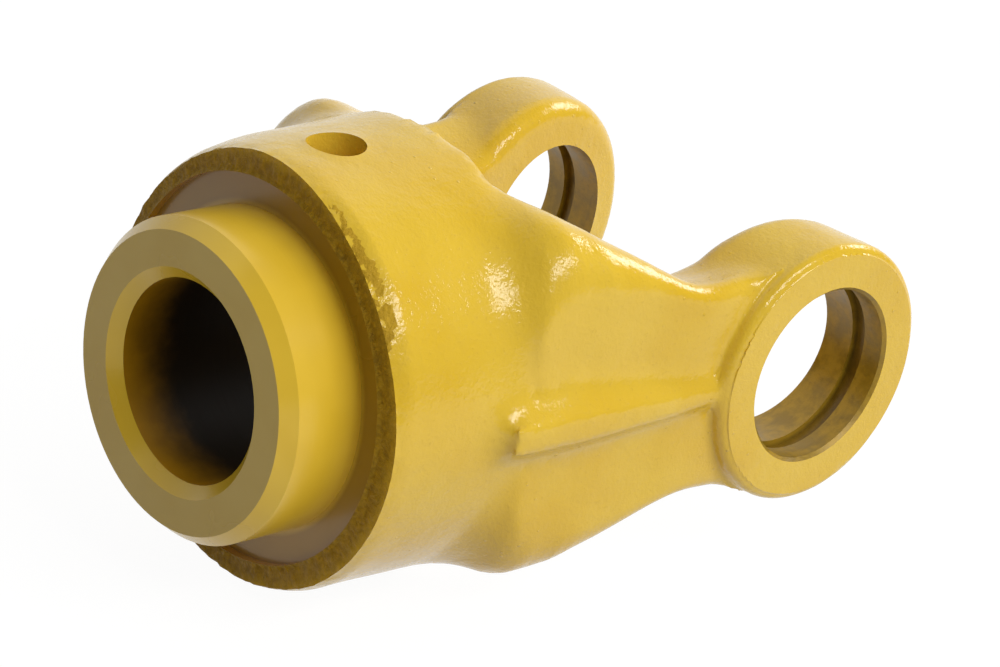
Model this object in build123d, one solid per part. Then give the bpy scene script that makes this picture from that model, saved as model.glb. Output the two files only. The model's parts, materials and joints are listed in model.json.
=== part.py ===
from build123d import *
from math import radians, sqrt, tan
import os

# Forged yoke of a universal joint, one solid.
# Frame: origin at the joint centre, where the hub axis meets the bearing axis.
# X is the hub axis with the spigot at -X, Y is the bearing axis, Z is up. Millimetres.

# Hub and spigot, along X from the joint centre
nose_to_joint = 109.0      # turned end face of the spigot to the joint centre
nose_length = 14.2         # end face to shoulder
nose_d = 55.6
nose_bevel = 2.0           # radial size of the bevel on the end face
nose_bevel_length = 2.6
shaft_bore_d = 35.0
shaft_bore_bevel = 2.1
throat_to_joint = 60.5     # front face of the hub, the floor of the throat
barrel_d_back = 77.4       # forged barrel, with draft towards the spigot
barrel_d_front = 78.8

# Sheared rim round the shoulder
faced_d = 67.0             # turned seat on the shoulder
faced_depth = 1.6          # the seat lies this far below the rim
trim_rise = 3.4            # length over which the trim line blends into the barrel
trim_reach = [35.6, 36.4, 38.4, 37.0, 38.4, 38.2, 37.4, 36.0]  # every 45 degrees, from +Y up and over
round_rise = 9.0           # the forged rounding behind the trim line ends this far from the rim
round_reach = [37.4, 37.8, 38.6, 38.6, 38.6, 38.7, 38.6, 37.6]  # where the trim line's blend ends

# Pin hole across the hub
pin_hole_d = 10.3
pin_hole_to_joint = 81.3

# Ears
ear_d = 49.0
ear_land = 4.8             # machined outer face beyond the snap ring groove
ear_edge_r = 2.0           # rounding of the machined face's rim
ear_inner_d = 49.8         # at the gap's side, with forging draft
ear_inner_set_back = 2.4   # the tip slopes back towards the gap
ear_inner_r = 4.0          # forged rounding of the ear's inner rim
boss_height = 3.0          # machined face above the arm
boss_blend_r = 1.0
gap_at_joint = 56.0        # between the ears, at the bearing axis
gap_draft = 8.4            # forging draft of the gap's walls, degrees
throat_corner_r = 6.0
cup_d = 32.0               # bearing cup
cups_across = 76.0         # over the two cups when the cross is fitted
snap_ring = 1.6
ring_clearance = 0.1
groove_width = 3.0
groove_depth = 1.4
cup_mouth_bevel = 0.6

# Arms, from the hub to the ears
shoulder_half = 34.4       # half height where the arm leaves the hub
shoulder_corner_r = 14.0
waist_half = 15.4          # half height of the inner side at the narrowest place
waist_swell = 5.4          # the outer side is this much fuller there
waist_to_joint = 27.0
waist_corner_r = 3.0
arm_inner_r = 4.5          # forged rounding of the arm's edges along the gap
wall_allowance = 0.4       # extra metal on an arm's inner side before the gap is cut
hub_allowance = 8.0        # the same where the arm joins the hub
root_blend_r = 22.0        # hollow from the waist up to the ear
flare_at_hub = 39.0        # outer face from the hub axis
shoulder_rise = 4.6        # length of the step from the barrel up to the arm
shoulder_drop = 10.0       # height of that step
swell_shares = (1.0, 0.84, 0.56, 0.27)    # sections between the hub (1) and the waist (0)
swell_lifts = (0.3, 0.9, 0.3, -0.2)       # half height there beyond the straight taper
swell_outers = (-2.2, 0.7, 2.2, 3.2)      # the outer side's half height beyond the inner one's
corner_shares = (0.95, 0.75, 0.36, 0.1)   # of the way from the waist's corner to the shoulder's
buried_corner_share = 0.8
root_shares = (0.0, 0.4, 0.7, 1.0)        # sections between the waist (0) and the ear (1)

# Leaf rib down the middle of each arm
rib_start = 72.0           # blunt end to the joint centre
rib_end = 23.0
rib_crest = 43.2           # crest of the rib from the hub axis
rib_foot = 36.0            # buried foot of the rib
rib_foot_halves = (4.8, 8.2, 2.4)   # half width at the blunt end, the belly and the tip
rib_crest_halves = (2.6, 2.4, 1.7)
rib_lean = 0.8             # slope of the blunt end, over its height
rib_belly_share = 0.3      # of the rib's length from the blunt end
rib_edge_r = 1.6

shoulder_x = -(nose_to_joint - nose_length)
throat_x = -throat_to_joint
ear_r = ear_d / 2
groove_out = cups_across / 2 + snap_ring + ring_clearance
ear_face = groove_out + ear_land
arm_face = ear_face - boss_height


def ring_x(radius, x):
    """Circle about the hub axis at x."""
    return Plane(origin=(x, 0, 0), x_dir=(0, 1, 0), z_dir=(1, 0, 0)) * Circle(radius)


def turned_x(profile):
    """Solid of revolution about the hub axis from a half profile of (x, radius) points."""
    return revolve(make_face(Polyline([(x, 0, r) for x, r in profile], close=True)), Axis.X)


def rod_x(radius, x0, x1):
    """Cylinder along the hub axis."""
    return extrude(ring_x(radius, x0), x1 - x0)


def rod_y(radius, y0, y1):
    """Cylinder along the bearing axis."""
    return extrude(Plane(origin=(0, y0, 0), x_dir=(1, 0, 0), z_dir=(0, 1, 0)) * Circle(radius), y1 - y0)


def spigot():
    """Turned spigot with its bevelled end, run a little way into the hub."""
    nose_x = -nose_to_joint
    r = nose_d / 2
    return turned_x([
        (nose_x, 0), (nose_x, r - nose_bevel), (nose_x + nose_bevel_length, r),
        (shoulder_x + trim_rise, r), (shoulder_x + trim_rise, 0),
    ])


def lobed_x(reach, x):
    """Closed curve about the hub axis at x, through radii at even steps from +Y."""
    step = 360 / len(reach)
    points = [Vector(x, r, 0).rotate(Axis.X, step * k) for k, r in enumerate(reach)]
    return make_face(Spline(points, periodic=True))


def barrel():
    """Drafted forged barrel. Its back end rounds off unevenly into the sheared rim."""
    blend_x = shoulder_x + trim_rise
    full_x = shoulder_x + round_rise
    rim = loft([lobed_x(trim_reach, shoulder_x), lobed_x(round_reach, blend_x)])
    rounding = loft([lobed_x(round_reach, blend_x), ring_x(barrel_d_back / 2, full_x)])
    body = turned_x([
        (full_x, 0), (full_x, barrel_d_back / 2), (throat_x, barrel_d_front / 2), (throat_x, 0),
    ])
    seat = rod_x(faced_d / 2, shoulder_x, shoulder_x + faced_depth)
    return rim + rounding + body - seat


def wall_y(distance):
    """Gap's drafted wall from the hub axis, at a distance back from the joint centre."""
    return gap_at_joint / 2 - tan(radians(gap_draft)) * distance


def arm_station(distance, outer, half_in, half_out, corner_r, allowance=wall_allowance):
    """Section of an arm at a distance from the joint centre, its four corners rounded."""
    inner = wall_y(distance) - allowance
    outline = Polyline((inner, -half_in), (outer, -half_out), (outer, half_out), (inner, half_in), close=True)
    section = make_face(outline)
    section = fillet(section.vertices().group_by(Axis.X)[-1], corner_r)
    section = fillet(section.vertices().group_by(Axis.X)[0], arm_inner_r)
    return Plane(origin=(-distance, 0, 0), x_dir=(0, 1, 0), z_dir=(1, 0, 0)) * section


def root_half(distance, half):
    """Half height near the ear: an arc leaves the waist level and runs into the ear's circle."""
    centre = sqrt((ear_r + root_blend_r) ** 2 - (half + root_blend_r) ** 2)
    if distance < centre * ear_r / (ear_r + root_blend_r):
        return sqrt(ear_r ** 2 - distance ** 2)
    return half + root_blend_r - sqrt(root_blend_r ** 2 - max(centre - distance, 0) ** 2)


def arm(outer_face=arm_face):
    """Arm on the +Y side: a shoulder out of the barrel, a straight taper, a waist and the ear's root."""
    span = throat_to_joint - waist_to_joint
    taper = (shoulder_half - waist_half) / span
    flare = (arm_face - flare_at_hub) / span
    root_end = ear_r / 2

    def station(share, lift, swell, corner_share, allowance):
        """Section part of the way from the waist (0) to the hub (1)."""
        back = span * share
        half = waist_half + taper * back
        corner = waist_corner_r + (shoulder_corner_r - waist_corner_r) * corner_share
        outer = outer_face - flare * back
        return arm_station(waist_to_joint + back, outer, half + lift, half + lift + swell, corner, allowance)

    def root(share):
        """Section part of the way from the waist (0) into the ear (1)."""
        distance = waist_to_joint + (root_end - waist_to_joint) * share
        inner = root_half(distance, waist_half)
        outer = root_half(distance, waist_half + waist_swell)
        return arm_station(distance, outer_face, inner, outer, waist_corner_r)

    buried = station(1 + shoulder_rise / span, -shoulder_drop, 0, buried_corner_share, hub_allowance)
    allowances = (hub_allowance, hub_allowance / 2, wall_allowance, wall_allowance)
    swells = zip(swell_shares, swell_lifts, swell_outers, corner_shares, allowances)
    return loft([buried] + [station(*swell) for swell in swells] + [root(share) for share in root_shares])


def ear():
    """Round ear on the +Y side: a drafted drum with a machined outer rim and a forged, rounder inner one."""
    buried_y = wall_y(ear_d)
    run = (arm_face - buried_y) / (arm_face - gap_at_joint / 2)
    inner_r = ear_r + (ear_inner_d / 2 - ear_r) * run
    gap_side = Plane(origin=(-ear_inner_set_back * run, buried_y, 0), x_dir=(1, 0, 0), z_dir=(0, 1, 0))
    arm_side = Plane(origin=(0, arm_face, 0), x_dir=(1, 0, 0), z_dir=(0, 1, 0))
    pad = rod_y(ear_r, arm_face, ear_face)
    pad = fillet(pad.edges().group_by(Axis.Y)[-1], ear_edge_r)
    drum = loft([gap_side * Circle(inner_r), arm_side * Circle(ear_r)]) - throat()
    drum = fillet(drum.faces().sort_by(Axis.Y)[0].edges(), ear_inner_r)
    return drum + pad


def boss():
    """Hollow blend between the arm's face and the raised machined face of the ear."""
    y = arm_face
    reach = ear_r + boss_blend_r
    hollow = RadiusArc((ear_r, y + boss_blend_r, 0), (reach, y, 0), -boss_blend_r)
    sink = Polyline((reach, y, 0), (reach, y - boss_height, 0), (0, y - boss_height, 0),
                    (0, y + boss_blend_r, 0), (ear_r, y + boss_blend_r, 0))
    return revolve(make_face([hollow, sink]), Axis.Y) & arm(ear_face)


def rib():
    """Leaf rib on the +Y arm: blunt at the hub, widest a third of the way, fading out at the ear's boss."""

    def leaf(y, halves, start):
        """Outline of the rib at one height, from its three half widths."""
        blunt, belly, tip = halves
        middle = start + (rib_end - start) * rib_belly_share
        corners = [(-start, y, -blunt), (-start, y, blunt), (-rib_end, y, tip), (-rib_end, y, -tip)]
        top = ThreePointArc(corners[1], (-middle, y, belly), corners[2])
        low = ThreePointArc(corners[3], (-middle, y, -belly), corners[0])
        return make_face([Line(*corners[:2]), top, Line(*corners[2:]), low])

    body = loft([leaf(rib_foot, rib_foot_halves, rib_start + rib_lean), leaf(rib_crest, rib_crest_halves, rib_start)])
    crest = body.faces().sort_by(Axis.Y)[-1]
    return fillet(crest.edges(), rib_edge_r)


def throat():
    """Space between the ears: a flat floor, rounded corners and drafted walls."""
    reach = ear_d
    floor_half = wall_y(throat_to_joint)
    mouth_half = wall_y(-reach)
    outline = Polyline(
        (throat_x, -floor_half), (reach, -mouth_half), (reach, mouth_half), (throat_x, floor_half), close=True
    )
    face = make_face(outline)
    face = fillet(face.vertices().group_by(Axis.X)[0], throat_corner_r)
    return extrude(face, ear_d, both=True)


def bearing_bores():
    """Bores for the bearing cups with their snap ring grooves."""
    cup_r = cup_d / 2
    cut = rod_y(cup_r, -2 * ear_face, 2 * ear_face)
    for side in (-1, 1):
        cut += rod_y(cup_r + groove_depth, side * groove_out, side * (groove_out - groove_width))
        mouth = Plane(origin=(0, side * (ear_face - cup_mouth_bevel), 0), x_dir=(1, 0, 0), z_dir=(0, side, 0))
        small = mouth * Circle(cup_r)
        large = mouth.offset(cup_mouth_bevel * 2) * Circle(cup_r + cup_mouth_bevel * 2)
        cut += loft([small, large])
    return cut


def shaft_bore():
    """Bore through the hub with its lead-in bevel."""
    nose_x = -nose_to_joint
    r = shaft_bore_d / 2
    bevel = shaft_bore_bevel
    return turned_x([
        (nose_x - bevel, 0), (nose_x - bevel, r + 2 * bevel), (nose_x + bevel, r),
        (throat_x + nose_length, r), (throat_x + nose_length, 0),
    ])


def pin_hole():
    """Hole across the hub for the locking pin."""
    place = Plane(origin=(-pin_hole_to_joint, 0, -ear_d), x_dir=(1, 0, 0), z_dir=(0, 0, 1))
    return extrude(place * Circle(pin_hole_d / 2), 2 * ear_d)


def yoke():
    side = arm() + boss() + rib() - throat() + ear()
    body = barrel() - throat() + side + mirror(side, Plane.XZ)
    body = body + spigot()
    return body - bearing_bores() - shaft_bore() - pin_hole()


os.makedirs("parts", exist_ok=True)
export_step(yoke(), "parts/yoke.step")
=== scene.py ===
import json
import math

import bpy
import numpy as np
from mathutils import Matrix, Vector, noise


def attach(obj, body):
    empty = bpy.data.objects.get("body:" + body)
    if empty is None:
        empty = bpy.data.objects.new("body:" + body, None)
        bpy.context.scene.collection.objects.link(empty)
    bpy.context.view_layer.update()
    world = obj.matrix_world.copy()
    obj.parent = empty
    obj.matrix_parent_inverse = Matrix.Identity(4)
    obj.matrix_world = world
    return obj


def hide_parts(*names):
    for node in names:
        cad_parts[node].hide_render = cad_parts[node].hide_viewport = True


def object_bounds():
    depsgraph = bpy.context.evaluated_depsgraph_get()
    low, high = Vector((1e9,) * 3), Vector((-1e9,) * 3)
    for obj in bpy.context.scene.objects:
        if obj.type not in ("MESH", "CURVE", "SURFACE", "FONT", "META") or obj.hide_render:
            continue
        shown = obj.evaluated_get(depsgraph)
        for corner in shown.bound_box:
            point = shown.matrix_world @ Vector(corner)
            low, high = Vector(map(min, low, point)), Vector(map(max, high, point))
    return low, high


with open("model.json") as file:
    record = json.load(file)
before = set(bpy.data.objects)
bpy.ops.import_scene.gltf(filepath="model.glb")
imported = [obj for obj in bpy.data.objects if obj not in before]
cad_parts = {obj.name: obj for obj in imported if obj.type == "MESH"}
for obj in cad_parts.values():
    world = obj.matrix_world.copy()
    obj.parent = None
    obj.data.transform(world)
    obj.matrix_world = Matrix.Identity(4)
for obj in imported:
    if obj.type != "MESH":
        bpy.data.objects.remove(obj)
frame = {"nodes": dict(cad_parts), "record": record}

# The looks of a forged universal joint yoke: shot-blasted forged steel under one coat of golden yellow
# enamel, turned on the spigot and the seat, bored at the hub and the ears. Metres, in the part's frame.

cad_low, cad_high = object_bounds()
MM = 0.001

# Places on the part, from its record where that states them
mounts = {m["name"]: m for m in frame["record"]["mounts"]}
nose_x = cad_low[0]
spigot_r = mounts["SPIGOT"]["dims"]["r_mm"] * MM
shaft_bore_r = mounts["HUB_BORE"]["dims"]["r_mm"] * MM
ear_bore_r = mounts["EAR_BORES"]["dims"]["r_mm"] * MM
pin_hole_r = mounts["PIN_HOLE"]["dims"]["r_mm"] * MM
pin_hole_x = mounts["PIN_HOLE"]["pos_m"][0]
ear_face_y = cad_high[1]
between_ears_y = ear_face_y / 2
floor_z = cad_low[2]
shoulder_x = nose_x + 14.2 * MM
turned_end_x = shoulder_x + 2 * MM
throat_x = -60.5 * MM
bevel_length = 2.6 * MM
bevel_depth = 2.0 * MM
groove_depth = 1.4 * MM
groove_out = 39.7 * MM
groove_in = 36.7 * MM
faced_r = 33.5 * MM
ear_r = 24.5 * MM
barrel_back_r = 38.7 * MM
barrel_front_r = 39.4 * MM
rim_length = 3.4 * MM

# Mesh fineness
merge_step = 0.001 * MM
skin_edge = 2.9 * MM
rim_edge = 1.15 * MM
rim_reach = 1.5
refine_rounds = 24
facet_error = 0.06 * MM
least_area = 1e-6 * MM ** 2
sharp_angle = math.radians(30)

# How far the forging's creases are rounded: pace and rounds of each kind of wear
relax = 0.5
regrow = -0.53
crease_rounds = 4
rim_softness = 0.4
fill_step = 0.9 * MM
fill_rounds = 110
normals_every = 10
rib_melt_rounds = 12
blunt_melt_rounds = 14
junction_melt_rounds = 40
plain_fill = 0.3
rib_shelter = 0.85

# Where the forging is worn: limits along x, out along y or round the ear, each with the blur of its ends
rib_x = (-74 * MM, -20 * MM), 3 * MM
rib_z = (0, 8 * MM), 4 * MM
rib_y = (37 * MM, 50 * MM), 3 * MM
blunt_x = (-76 * MM, -69 * MM), 3 * MM
junction_x = (-66 * MM, -56 * MM), 5 * MM
junction_y = (22 * MM, 50 * MM), 4 * MM
ear_root_r = (ear_r - MM, ear_r + 3.5 * MM), 2 * MM
ear_root_y = (39 * MM, 43.6 * MM), MM

# Hammered and torn skin: the deepest dent and the size of each kind of lump
forged_lumps = (0.22 * MM, 11 * MM), (0.12 * MM, 5 * MM)
torn_lumps = (0.5 * MM, 2.6 * MM), (0.3 * MM, 1.3 * MM)
torn_rim_length = 1.2 * rim_length
torn_x = (nose_x, shoulder_x + 0.4 * MM), 1.6 * MM
seed_steps = 7.31, 3.17, 5.83

# A face is torn where its normal has less X than the first, and a flat of the ear with more Y than the second
torn_facing = -0.45
flat_facing = 0.8

# Cutting marks are grain drawn out the way the tool ran: round the hub axis, and along X in the ears
round_hub = (1.0, 0.06, 0.06)
round_ear = (0.08, 1.0, 1.0)

# The directions that count in the distance from the hub axis and from the bearing axis
across_hub = (0.0, 1.0, 1.0)
across_ear = (1.0, 0.0, 1.0)

# Camera, fitted to the circles in the photograph
camera_aim = Vector((-40.86, -4.92, -1.09)) * MM
camera_azimuth = math.radians(-45.805)
camera_elevation = math.radians(22.715)
camera_roll = math.radians(9.068)
camera_distance = 701.3 * MM
camera_lens = 144.0

# Studio: to the eye the paper is mostly glow, and the rest of it is real paper that keeps the shadow
white = (1.0, 1.0, 1.0, 1.0)
floor_half = 2.0
paper_glow = 1.11
glow_share = 0.86
lamp_distance = 0.9

# Fill light from each side of the room: the way it grows, from where to where, its least and its most
fill_sides = ("X", -0.6, 0.9, 0.03, 0.6), ("Z", 0.3, 1.0, 0.0, 0.36), ("Y", -0.3, -1.0, 0.0, 0.56)

# Setting of a Map Range node that eases in and out
smooth = {"interpolation_type": "SMOOTHSTEP"}


def linear(hex_colour):
    """Scene-linear RGBA from an sRGB hex colour."""
    channels = [int(hex_colour[i:i + 2], 16) / 255 for i in (1, 3, 5)]
    return tuple(c / 12.92 if c <= 0.04045 else ((c + 0.055) / 1.055) ** 2.4 for c in channels) + (1.0,)


def direction(azimuth, elevation):
    """Unit vector from the part towards a place; azimuth 0 is -Y and turns towards +X."""
    flat = math.cos(elevation)
    return Vector((math.sin(azimuth) * flat, -math.cos(azimuth) * flat, math.sin(elevation)))


def add(tree, kind, links=None, **settings):
    """One shader node with its settings. links gives each input, by its identifier, a value, an output,
    or a node, which stands for its first output in use."""
    made = tree.nodes.new("ShaderNode" + kind)
    for name, value in settings.items():
        setattr(made, name, value)
    inputs = {socket.identifier: socket for socket in made.inputs}
    for name, value in (links or {}).items():
        if isinstance(value, bpy.types.Node):
            value = next(output for output in value.outputs if output.enabled)
        if isinstance(value, bpy.types.NodeSocket):
            tree.links.new(value, inputs[name])
        else:
            inputs[name].default_value = value
    return made


def new_material(name):
    """Empty node material and its tree."""
    made = bpy.data.materials.new(name)
    made.use_nodes = True
    made.node_tree.nodes.clear()
    return made, made.node_tree


def stained_or_shaded(tree, colour, pattern, low, high, share, stain_or_shade):
    """Turns a colour to another by up to a share, as a pattern passes from low to high."""
    amount = add(tree, "MapRange", {
        "Value": pattern, "From Min": low, "From Max": high, "To Max": share}, **smooth)
    return add(tree, "Mix", {
        "Factor_Float": amount, "A_Color": colour, "B_Color": linear(stain_or_shade)}, data_type="RGBA")


def stacked(tree, *layers):
    """Sum of patterns, each times its share."""
    total = 0.0
    for pattern, share in layers:
        total = add(tree, "Math", {
            "Value": pattern, "Value_001": share, "Value_002": total}, operation="MULTIPLY_ADD")
    return total


def distance_from_axis(tree, place, across):
    """How far each place lies from the axis that a bore or a turned face goes round."""
    flat = add(tree, "Mapping", {"Vector": place, "Scale": across})
    return add(tree, "VectorMath", {"Vector": flat}, operation="LENGTH")


def forged_enamel():
    """Gloss alkyd enamel sprayed over a shot-blasted forging: golden yellow, wet-looking on the
    edges, with the blasted skin, a slight orange peel and a few nibs showing as broken highlights.
    The shot marks are drawn a little coarser than real ones, so that they show."""
    made, tree = new_material("gloss_enamel_on_forged_steel")
    place = add(tree, "TexCoord").outputs["Object"]
    peel = add(tree, "TexNoise", {"Vector": place, "Scale": 1 / (2.2 * MM)})
    blasted = add(tree, "TexNoise", {"Vector": place, "Scale": 1 / (0.75 * MM), "Roughness": 0.6})
    swell = add(tree, "TexNoise", {"Vector": place, "Scale": 1 / (7 * MM)})
    cloud = add(tree, "TexNoise", {"Vector": place, "Scale": 1 / (22 * MM)})
    colour = stained_or_shaded(tree, linear("#e6bf3a"), cloud, 0.35, 0.7, 1.0, "#e0b62c")
    colour = stained_or_shaded(tree, colour, blasted, 0.6, 0.78, 0.3, "#c79b22")
    # Nibs of dust under the coat, 2.3 mm apart, in the thicker clouds alone
    cells = add(tree, "TexVoronoi", {"Vector": place, "Scale": 1 / (2.3 * MM)})
    nibs = add(tree, "MapRange", {"Value": cells, "From Min": 0.16, "From Max": 0.03}, **smooth)
    thick = add(tree, "MapRange", {
        "Value": cloud, "From Min": 0.45, "From Max": 0.65, "To Max": 0.55}, **smooth)
    height = stacked(tree, (peel, 0.5), (blasted, 0.42), (swell, 1.1), (nibs, thick))
    shader = add(tree, "BsdfPrincipled", {
        "Base Color": colour, "IOR": 1.5,
        "Roughness": add(tree, "MapRange", {
            "Value": blasted, "From Min": 0.3, "From Max": 0.75, "To Min": 0.12, "To Max": 0.22}, **smooth),
        "Normal": add(tree, "Bump", {"Height": height, "Distance": 0.2 * MM})})
    add(tree, "OutputMaterial", {"Surface": shader})
    return made


def turned_enamel():
    """The same enamel over turned steel: level and smooth, with a softer highlight and faint feed marks
    round the hub axis. Real feed marks are finer than these, which are as coarse as they need to show."""
    made, tree = new_material("gloss_enamel_on_turned_steel")
    place = add(tree, "TexCoord").outputs["Object"]
    cloud = add(tree, "TexNoise", {"Vector": place, "Scale": 1 / (14 * MM)})
    fine = add(tree, "TexNoise", {"Vector": place, "Scale": 1 / (0.9 * MM)})
    drawn_out = add(tree, "Mapping", {"Vector": place, "Scale": round_hub})
    feed = add(tree, "TexNoise", {"Vector": drawn_out, "Scale": 1 / (0.7 * MM), "Detail": 1.0})
    radius = distance_from_axis(tree, place, across_hub)
    normal = add(tree, "NewGeometry").outputs["True Normal"]
    facing = add(tree, "SeparateXYZ", {"Vector": normal}).outputs["X"]
    colour = stained_or_shaded(tree, linear("#efc63a"), cloud, 0.3, 0.7, 1.0, "#e8be30")
    # Brown on the seat beyond the spigot, where the coat is thin, and painted shade of the recess behind the
    # spigot
    # Painted shade: the seat is darkened to brown beyond the spigot's radius
    colour = stained_or_shaded(tree, colour, radius, spigot_r + 0.1 * MM, spigot_r + 1.2 * MM, 0.75, "#a97c10")
    # Painted shade on the end face, which faces away from the lamps, over a duller coat there
    colour = stained_or_shaded(tree, colour, facing, -0.9, -0.98, 0.28, "#1a150a")
    height = stacked(tree, (feed, 0.4), (fine, 0.25))
    shader = add(tree, "BsdfPrincipled", {
        "Base Color": colour, "IOR": 1.5,
        "Roughness": add(tree, "MapRange", {
            "Value": cloud, "From Min": 0.3, "From Max": 0.7, "To Min": 0.2, "To Max": 0.28}, **smooth),
        "Normal": add(tree, "Bump", {"Height": height, "Distance": 0.03 * MM})})
    add(tree, "OutputMaterial", {"Surface": shader})
    return made


def sheared_enamel():
    """Enamel over the torn face that the trimming press leaves: pitted and dull, thin on the crests
    and darkened with painted shade in the pits, and back to yellow along a ragged outer edge. Its dark base
    is partly painted shade of this band, which faces away from the lamps."""
    made, tree = new_material("enamel_on_sheared_steel")
    place = add(tree, "TexCoord").outputs["Object"]
    torn = add(tree, "TexNoise", {"Vector": place, "Scale": 1 / (1.1 * MM), "Detail": 4.0, "Roughness": 0.65})
    pits = add(tree, "TexNoise", {"Vector": place, "Scale": 1 / (2.6 * MM), "Detail": 3.0, "Roughness": 0.6})
    ragged = stacked(tree, (pits, 3 * MM), (distance_from_axis(tree, place, across_hub), 1.0))
    # The dark mustard base is partly painted shade of the torn band, which faces away from the lamps
    colour = stained_or_shaded(tree, linear("#94700f"), torn, 0.3, 0.7, 1.0, "#b68d18")
    # Painted shade in the pits: darker where the pits pattern is high
    colour = stained_or_shaded(tree, colour, pits, 0.5, 0.72, 0.45, "#7d5f16")
    colour = stained_or_shaded(tree, colour, ragged, faced_r + 3.5 * MM, faced_r + 6.5 * MM, 0.75, "#dcb02c")
    height = stacked(tree, (torn, 1.0), (pits, 0.5))
    shader = add(tree, "BsdfPrincipled", {
        "Base Color": colour, "Specular IOR Level": 0.15,
        "Roughness": add(tree, "MapRange", {
            "Value": torn, "From Min": 0.3, "From Max": 0.7, "To Min": 0.55, "To Max": 0.4}, **smooth),
        "Normal": add(tree, "Bump", {"Height": height, "Distance": 0.5 * MM})})
    add(tree, "OutputMaterial", {"Surface": shader})
    return made


def bored_steel():
    """Bored steel of the ears with a thin mist of enamel and oil: dull brown-khaki, streaked along the
    cut, and darkened with painted shade in the snap ring groove."""
    made, tree = new_material("oiled_bored_steel_with_overspray")
    place = add(tree, "TexCoord").outputs["Object"]
    mist = add(tree, "TexNoise", {"Vector": place, "Scale": 1 / (3.5 * MM), "Detail": 4.0, "Roughness": 0.6})
    drawn_out = add(tree, "Mapping", {"Vector": place, "Scale": round_ear})
    streak = add(tree, "TexNoise", {
        "Vector": drawn_out, "Scale": 1 / (1.2 * MM), "Detail": 3.0, "Roughness": 0.6})
    radius = distance_from_axis(tree, place, across_ear)
    colour = stained_or_shaded(tree, linear("#96771a"), mist, 0.35, 0.65, 1.0, "#b59026")
    colour = stained_or_shaded(tree, colour, streak, 0.5, 0.75, 0.3, "#6b5012")
    # Painted shade in the snap ring groove
    colour = stained_or_shaded(tree, colour, radius, ear_bore_r + 0.4 * MM, ear_bore_r + 1.2 * MM, 0.4, "#4a3710")
    shader = add(tree, "BsdfPrincipled", {
        "Base Color": colour, "Metallic": 0.15,
        "Roughness": add(tree, "MapRange", {
            "Value": mist, "From Min": 0.3, "From Max": 0.7, "To Min": 0.32, "To Max": 0.45}, **smooth),
        "Normal": add(tree, "Bump", {"Height": streak, "Distance": 0.05 * MM})})
    add(tree, "OutputMaterial", {"Surface": shader})
    return made


def shaft_bore_steel():
    """Bored steel of the hub under oil: enamel mist at the mouth, then painted shade that darkens it to a
    deep brown further in. The feed marks are drawn coarser than real ones, so that they show."""
    made, tree = new_material("oiled_shaft_bore_steel")
    place = add(tree, "TexCoord").outputs["Object"]
    mist = add(tree, "TexNoise", {"Vector": place, "Scale": 1 / (5 * MM), "Detail": 3.0, "Roughness": 0.55})
    drawn_out = add(tree, "Mapping", {"Vector": place, "Scale": round_hub})
    feed = add(tree, "TexNoise", {"Vector": drawn_out, "Scale": 1 / (0.9 * MM)})
    along = add(tree, "SeparateXYZ", {"Vector": place}).outputs["X"]
    depth = stacked(tree, (mist, 6 * MM), (along, 1.0))
    # Painted shade: the colour darkens from the mouth to a deep brown further into the bore
    colour = stained_or_shaded(tree, linear("#ad7c08"), depth, nose_x + 3 * MM, nose_x + 17 * MM, 1.0, "#1f1505")
    shader = add(tree, "BsdfPrincipled", {
        "Base Color": colour, "Roughness": 0.55, "Specular IOR Level": 0.12,
        "Normal": add(tree, "Bump", {"Height": feed, "Distance": 0.04 * MM})})
    add(tree, "OutputMaterial", {"Surface": shader})
    return made


def rows_of(items, name):
    """One property of every item of a mesh, three numbers to a row."""
    flat = np.empty(len(items) * 3)
    items.foreach_get(name, flat)
    return flat.reshape(-1, 3)


def merged_triangles(mesh):
    """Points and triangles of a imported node's mesh, with the points that lie on one another joined."""
    co = rows_of(mesh.vertices, "co")
    places = np.round(co / merge_step).astype(np.int64)
    _, first, joined = np.unique(places, axis=0, return_index=True, return_inverse=True)
    mesh.calc_loop_triangles()
    tris = np.empty(len(mesh.loop_triangles) * 3, dtype=np.int64)
    mesh.loop_triangles.foreach_get("vertices", tris)
    tris = joined.ravel()[tris].reshape(-1, 3)
    whole = (tris[:, 0] != tris[:, 1]) & (tris[:, 1] != tris[:, 2]) & (tris[:, 2] != tris[:, 0])
    return co[first], tris[whole]


def edges_of(tris, points):
    """Each edge once as two point indices, and for each triangle the indices of its three edges."""
    ends = np.sort(tris[:, [0, 1, 1, 2, 2, 0]].reshape(-1, 2), axis=1)
    keys, edge_of = np.unique(ends[:, 0] * points + ends[:, 1], return_inverse=True)
    return np.stack([keys // points, keys % points], axis=1), edge_of.reshape(-1, 3)


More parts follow.
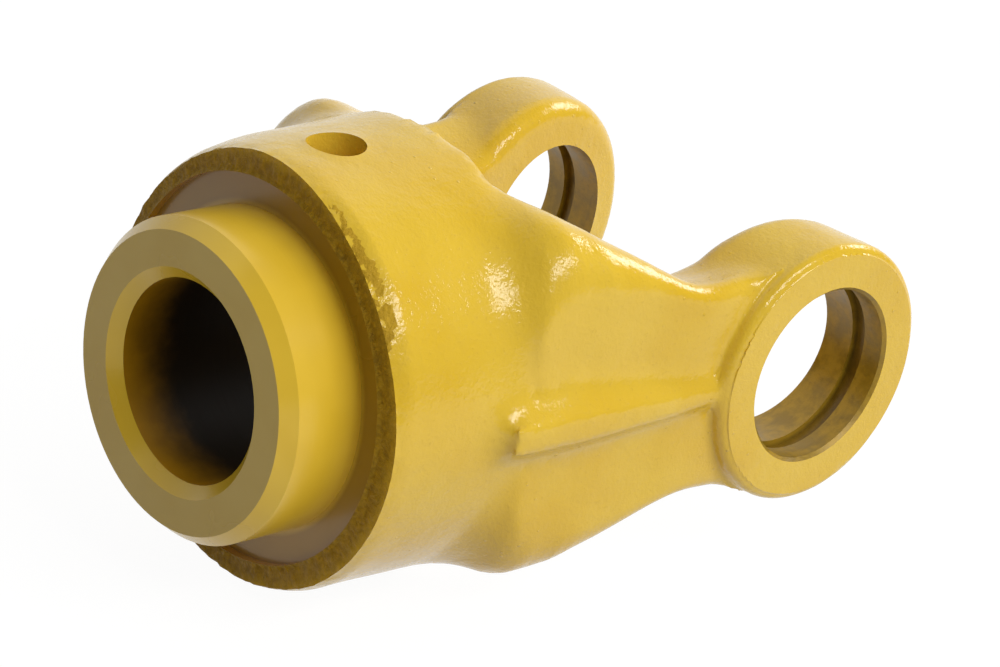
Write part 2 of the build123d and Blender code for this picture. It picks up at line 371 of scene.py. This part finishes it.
def refine(co, tris):
    """Halves long edges, a triangle's longest first, until the skin is fine enough; it stays closed."""
    for _ in range(refine_rounds):
        edges, edge_of = edges_of(tris, len(co))
        length = np.linalg.norm(co[edges[:, 0]] - co[edges[:, 1]], axis=1)
        middle = co[edges].mean(axis=1)
        longest = edge_of[np.arange(len(tris)), length[edge_of].argmax(axis=1)]
        split = np.zeros(len(edges), dtype=bool)
        split[longest] = True
        split &= length > allowed_edge(middle)
        if not split.any():
            break
        added = np.full(len(edges), -1)
        added[split] = len(co) + np.arange(split.sum())
        co = np.vstack([co, middle[split]])
        mids = added[edge_of]
        cuts = (mids >= 0).sum(axis=1)
        parts = [tris[cuts == 0]]
        for turn in range(3):
            v = np.roll(tris, -turn, axis=1)
            m = np.roll(mids, -turn, axis=1)
            one = (cuts == 1) & (m[:, 0] >= 0)
            parts.append(np.stack([v[one, 0], m[one, 0], v[one, 2]], axis=1))
            parts.append(np.stack([m[one, 0], v[one, 1], v[one, 2]], axis=1))
            two = (cuts == 2) & (m[:, 2] < 0)
            parts.append(np.stack([m[two, 0], v[two, 1], m[two, 1]], axis=1))
            parts.append(np.stack([v[two, 0], m[two, 0], m[two, 1]], axis=1))
            parts.append(np.stack([v[two, 0], m[two, 1], v[two, 2]], axis=1))
            three = cuts == 3
            parts.append(np.stack([v[three, 0], m[three, 0], m[three, 2]], axis=1))
        parts.append(mids[cuts == 3])
        tris = np.vstack(parts)
    return co, tris


def allowed_edge(co):
    """Longest edge at each place: finer on the sheared rim."""
    near_rim = (co[:, 0] < shoulder_x + rim_reach * rim_length) & (hub_radius(co) > faced_r - MM)
    return np.where(near_rim, rim_edge, skin_edge)


def hub_radius(co):
    """Distance from the hub axis."""
    return np.hypot(co[:, 1], co[:, 2])


def ear_radius(co):
    """Distance from the bearing axis."""
    return np.hypot(co[:, 0], co[:, 2])


def machined(co):
    """True where the surface was turned, bored or drilled, so that it keeps its true form."""
    x = co[:, 0]
    y = np.abs(co[:, 1])
    from_hub = hub_radius(co)
    from_ear = ear_radius(co)
    from_pin = np.hypot(x - pin_hole_x, co[:, 1])
    turned = (x < turned_end_x) & (from_hub < faced_r + facet_error)
    bored = (from_hub < shaft_bore_r + facet_error) & (x < throat_x + facet_error)
    ears = (from_ear < ear_bore_r + groove_depth + facet_error) & (y > between_ears_y)
    faced = y > ear_face_y - facet_error
    drilled = (from_pin < pin_hole_r + facet_error) & (from_hub > shaft_bore_r)
    return turned | bored | ears | faced | drilled


def true_round(co):
    """Moves the points of flat facets out to the round surface that they stand for."""
    def snap(across, centre, radius, where):
        offset = co[:, across] - centre
        r = np.hypot(offset[:, 0], offset[:, 1])
        hit = where & (np.abs(r - radius) < facet_error)
        scale = np.where(hit, radius / np.maximum(r, MM), 1.0)
        co[:, across] = centre + offset * scale[:, None]

    x = co[:, 0]
    y = co[:, 1]
    on_axis = np.zeros(2)
    at_ears = np.abs(y) > between_ears_y
    snap([1, 2], on_axis, shaft_bore_r, x < throat_x)
    snap([1, 2], on_axis, spigot_r, (x > nose_x + bevel_length) & (x < shoulder_x + MM))
    bevel_r = spigot_r - bevel_depth * (1 - (x - nose_x) / bevel_length)
    snap([1, 2], on_axis, bevel_r, x < nose_x + bevel_length)
    draft = (barrel_front_r - barrel_back_r) / (throat_x - shoulder_x - rim_length)
    barrel_r = barrel_back_r + draft * (x - shoulder_x - rim_length)
    snap([1, 2], on_axis, barrel_r, (x > shoulder_x + rim_length) & (x < throat_x))
    snap([0, 2], on_axis, ear_bore_r, at_ears)
    snap([0, 2], on_axis, ear_bore_r + groove_depth, at_ears)
    snap([0, 1], np.array([pin_hole_x, 0.0]), pin_hole_r, np.abs(co[:, 2]) > shaft_bore_r / 2)
    return co


def neighbour_means(co, edges):
    """Mean place of each point's neighbours, and their mean distance."""
    near = np.concatenate([edges[:, 0], edges[:, 1]])
    far = np.concatenate([edges[:, 1], edges[:, 0]])
    count = np.bincount(near, minlength=len(co))
    means = np.stack([np.bincount(near, co[far, k], len(co)) for k in range(3)], axis=1) / count[:, None]
    reach = np.bincount(near, np.linalg.norm(co[near] - co[far], axis=1), len(co)) / count
    return means, reach


def point_normals(co, tris):
    """Outward unit normal at each point."""
    face = np.cross(co[tris[:, 1]] - co[tris[:, 0]], co[tris[:, 2]] - co[tris[:, 0]])
    total = np.stack([np.bincount(tris.ravel(), np.repeat(face[:, k], 3), len(co)) for k in range(3)], axis=1)
    return total / np.maximum(np.linalg.norm(total, axis=1), least_area)[:, None]


def soften(co, edges, weight):
    """Rounds the forging's small creases and edges evenly, whatever the size of the triangles there."""
    for step in [relax, regrow] * crease_rounds + [relax]:
        means, _ = neighbour_means(co, edges)
        co = co + (means - co) * weight[:, None] * step
    return co


def fill_hollows(co, edges, tris, weight):
    """Fills the hollow creases of a forging with soft fillets and leaves its edges as they are."""
    for turn in range(fill_rounds):
        if turn % normals_every == 0:
            normals = point_normals(co, tris)
        means, reach = neighbour_means(co, edges)
        move = means - co
        hollow = (move * normals).sum(axis=1) > 0
        pace = relax * np.minimum((fill_step / reach) ** 2, 1.0) * hollow * weight
        co = co + move * pace[:, None]
    return co


def melt(co, edges, weight, rounds):
    """Wears ridges and hollows alike where the weight is high."""
    for _ in range(rounds):
        means, reach = neighbour_means(co, edges)
        pace = relax * np.minimum((fill_step / reach) ** 2, 1.0) * weight
        co = co + (means - co) * pace[:, None]
    return co


def band(value, limits, blur):
    """1 between two limits, with soft ends."""
    low, high = limits
    rise = np.clip((value - low) / blur + 1, 0, 1)
    fall = np.clip((high - value) / blur + 1, 0, 1)
    return rise * fall


def lumps(points, size, seed):
    """Smooth noise from 0 to 1 at each point, with lumps of about the given size."""
    shift = Vector([seed * step for step in seed_steps])
    return np.array([noise.noise(Vector(p) / size + shift) for p in points]) * 0.5 + 0.5


def dents(points, kinds, first_seed):
    """How deep the skin lies below its highest lumps at each point."""
    total = 0.0
    for seed, (deepest, size) in enumerate(kinds, first_seed):
        total = total + deepest * (1 - lumps(points, size, seed))
    return total


def forging_mesh():
    """The yoke's visible skin: true on machined surfaces, softened and uneven where it was forged."""
    co, tris = refine(*merged_triangles(frame["nodes"]["yoke"].data))
    co = true_round(co)
    edges, _ = edges_of(tris, len(co))
    fixed = machined(co)
    on_rim = (co[:, 0] < shoulder_x + torn_rim_length) & (hub_radius(co) > faced_r) & ~fixed
    forged = np.where(fixed | on_rim, 0.0, 1.0)
    co = soften(co, edges, np.where(fixed, 0.0, np.where(on_rim, rim_softness, 1.0)))

    out = np.abs(co[:, 1])
    on_rib = band(co[:, 0], *rib_x) * band(np.abs(co[:, 2]), *rib_z) * band(out, *rib_y)
    at_hub = band(co[:, 0], *junction_x) * band(out, *junction_y)
    at_ear = band(ear_radius(co), *ear_root_r) * band(out, *ear_root_y)
    hollow = np.maximum(np.maximum(at_hub, at_ear), plain_fill)
    co = fill_hollows(co, edges, tris, forged * hollow * (1 - rib_shelter * on_rib))
    co = melt(co, edges, forged * at_hub * (1 - on_rib), junction_melt_rounds)
    blunt = on_rib * band(co[:, 0], *blunt_x)
    co = melt(co, edges, forged * on_rib, rib_melt_rounds)
    co = melt(co, edges, forged * blunt, blunt_melt_rounds)
    co = np.clip(co, cad_low, cad_high)

    mesh = bpy.data.meshes.new("yoke_forging")
    mesh.from_pydata(co, [], tris)
    mesh.update()
    sunk = dents(co, forged_lumps, 1)
    torn = sunk + (dents(co, torn_lumps, 3) - sunk) * band(co[:, 0], *torn_x)
    depth = np.where(fixed, 0.0, np.where(on_rim, torn, sunk))
    co = co - rows_of(mesh.vertices, "normal") * depth[:, None]
    mesh.vertices.foreach_set("co", co.ravel())
    mesh.update()
    return mesh


def zone_materials(mesh):
    """Gives each face the finish of its place."""
    finishes = forged_enamel(), turned_enamel(), sheared_enamel(), bored_steel(), shaft_bore_steel()
    for finish in finishes:
        mesh.materials.append(finish)
    forged, turned, sheared, in_ear, in_shaft_bore = range(len(finishes))
    centre = rows_of(mesh.polygons, "center")
    facing = rows_of(mesh.polygons, "normal")
    x = centre[:, 0]
    out = np.abs(centre[:, 1])
    from_hub = hub_radius(centre)
    finish_of = np.full(len(centre), forged, dtype=np.int32)
    finish_of[(x < shoulder_x + rim_length) & (from_hub > faced_r) & (facing[:, 0] < torn_facing)] = sheared
    finish_of[(x < turned_end_x) & (from_hub <= faced_r)] = turned
    along_bore = (x > nose_x + facet_error) & (x < throat_x - facet_error)
    finish_of[(from_hub < shaft_bore_r + facet_error) & along_bore] = in_shaft_bore
    grooved = (out > groove_in - facet_error) & (out < groove_out + facet_error)
    wall = grooved | (np.abs(facing[:, 1]) < flat_facing)
    inside_ear = (out > between_ears_y) & (out < ear_face_y - facet_error) & wall
    finish_of[(ear_radius(centre) < ear_bore_r + groove_depth + facet_error) & inside_ear] = in_ear
    mesh.polygons.foreach_set("material_index", finish_of)


def yoke_forging():
    """The whole yoke, in one piece."""
    mesh = forging_mesh()
    zone_materials(mesh)
    mesh.shade_smooth()
    mesh.set_sharp_from_angle(angle=sharp_angle)
    piece = bpy.data.objects.new("yoke_forging", mesh)
    bpy.context.scene.collection.objects.link(piece)
    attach(piece, "root")
    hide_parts("yoke")
    return piece


def seen_rays(tree):
    """1 for rays that the eye follows: from the camera, off gloss and through glass."""
    path = add(tree, "LightPath").outputs
    seen = path["Is Camera Ray"]
    for kind in ("Is Glossy Ray", "Is Transmission Ray"):
        seen = add(tree, "Math", {"Value": seen, "Value_001": path[kind]}, operation="MAXIMUM")
    return seen


def studio_floor():
    """Pale seamless floor: white to the eye, with the part's shadow left in it."""
    mesh = bpy.data.meshes.new("studio_floor")
    corners = [(x * floor_half, y * floor_half, floor_z) for x, y in ((-1, -1), (1, -1), (1, 1), (-1, 1))]
    mesh.from_pydata(corners, [], [(0, 1, 2, 3)])
    made, tree = new_material("pale_studio_paper")
    paper = add(tree, "BsdfDiffuse", {"Color": linear("#c6c6c4")})
    glow = add(tree, "Emission", {"Color": white, "Strength": paper_glow})
    share = add(tree, "Math", {"Value": seen_rays(tree), "Value_001": glow_share}, operation="MULTIPLY")
    mixed = add(tree, "MixShader", {"Fac": share, "Shader": paper, "Shader_001": glow})
    add(tree, "OutputMaterial", {"Surface": mixed})
    mesh.materials.append(made)
    floor = bpy.data.objects.new("studio_floor", mesh)
    bpy.context.scene.collection.objects.link(floor)


def studio_world():
    """White to the camera. Gloss sees a dark room in front of the part and a bright one behind it, and a
    soft fill comes from above, from the front and from the ears' side."""
    world = bpy.data.worlds.new("studio")
    bpy.context.scene.world = world
    world.use_nodes = True
    tree = world.node_tree
    tree.nodes.clear()
    up = add(tree, "SeparateXYZ", {"Vector": add(tree, "TexCoord").outputs["Generated"]}).outputs
    behind = add(tree, "MapRange", {
        "Value": up["Y"], "From Min": -0.15, "From Max": 0.35, "To Min": 0.03, "To Max": 1.0}, **smooth)
    camera_ray = add(tree, "LightPath").outputs["Is Camera Ray"]
    backdrop = add(tree, "Math", {"Value": behind, "Value_001": camera_ray}, operation="MAXIMUM")
    fill = 0.0
    for way, low, high, least, most in fill_sides:
        glow = add(tree, "MapRange", {
            "Value": up[way], "From Min": low, "From Max": high, "To Min": least, "To Max": most}, **smooth)
        fill = add(tree, "Math", {"Value": glow, "Value_001": fill}, operation="ADD")
    strength = add(tree, "Mix", {
        "Factor_Float": seen_rays(tree), "A_Float": fill, "B_Float": backdrop}, data_type="FLOAT")
    shade = add(tree, "Background", {"Color": white, "Strength": strength})
    add(tree, "OutputWorld", {"Surface": shade})


def softbox(name, azimuth, elevation, width, height, watts):
    """Lamp that faces the part from a direction in degrees."""
    data = bpy.data.lights.new(name, "AREA")
    data.shape = "RECTANGLE"
    data.size = width
    data.size_y = height
    data.energy = watts
    box = bpy.data.objects.new(name, data)
    towards = direction(math.radians(azimuth), math.radians(elevation))
    turn = towards.to_track_quat("Z", "Y").to_matrix().to_4x4()
    box.matrix_world = Matrix.Translation(camera_aim + towards * lamp_distance) @ turn
    bpy.context.scene.collection.objects.link(box)


def camera():
    """The photograph's view of the part."""
    data = bpy.data.cameras.new("camera")
    data.lens = camera_lens
    data.clip_start = 10 * MM
    eye = bpy.data.objects.new("camera", data)
    back = direction(camera_azimuth, camera_elevation)
    right = Vector((0, 0, 1)).cross(back).normalized()
    up = back.cross(right)
    turn = Matrix((right, up, back)).transposed() @ Matrix.Rotation(camera_roll, 3, "Z")
    eye.matrix_world = Matrix.Translation(camera_aim + back * camera_distance) @ turn.to_4x4()
    bpy.context.scene.collection.objects.link(eye)
    bpy.context.scene.camera = eye


yoke_forging()
studio_floor()
studio_world()
softbox("front_softbox", azimuth=6, elevation=42, width=0.66, height=0.18, watts=3.45)
softbox("side_softbox", azimuth=86, elevation=28, width=0.34, height=0.24, watts=2.0)
camera()

bpy.context.scene.view_settings.view_transform = "Standard"
